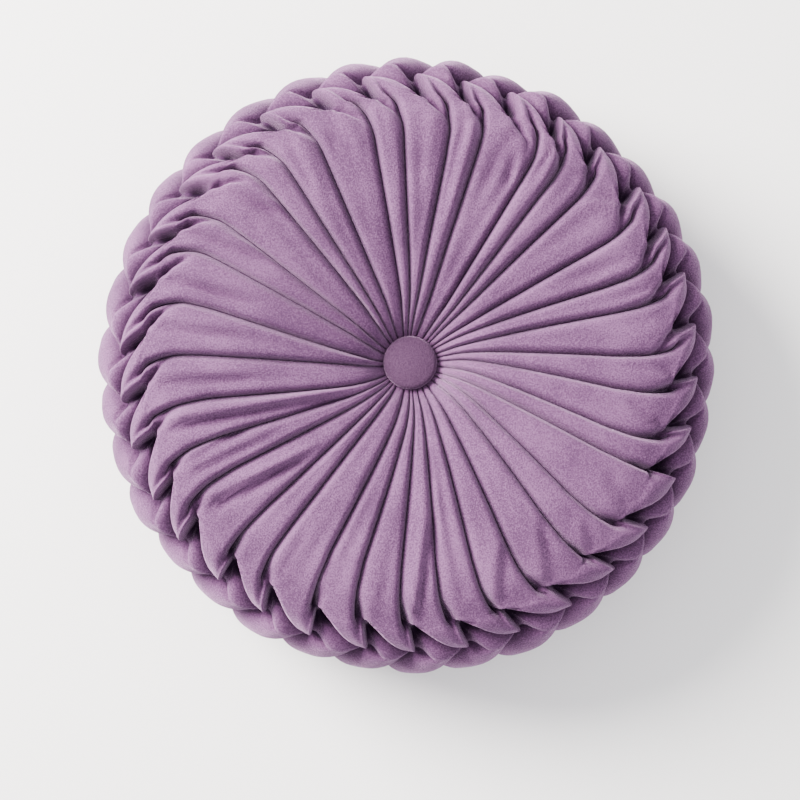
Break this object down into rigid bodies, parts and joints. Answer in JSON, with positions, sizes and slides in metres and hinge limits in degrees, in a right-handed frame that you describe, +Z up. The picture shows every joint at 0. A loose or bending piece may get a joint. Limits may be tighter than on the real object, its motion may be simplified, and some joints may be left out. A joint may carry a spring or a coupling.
{
  "type": "pumpkin cushion",
  "caption": "Round pleated velvet pumpkin cushion with a smocked lattice side and a covered button in a dimple on each face.",
  "frame": {"origin": "centre of the cushion's footprint, on the surface that its back rests on", "axes": "+Z up through both buttons, out of the front face; +X and +Y lie in the plane of the cushion"},
  "size_m": [0.3813, 0.382, 0.108],
  "materials": {
    "velvet": "short-pile dusty lilac velvet",
    "button_velvet": "the same velvet pulled tight over a button"
  },
  "bodies": {
    "root": {"cushion": "velvet", "front_button": "button_velvet", "back_button": "button_velvet"}
  },
  "joints": []
}
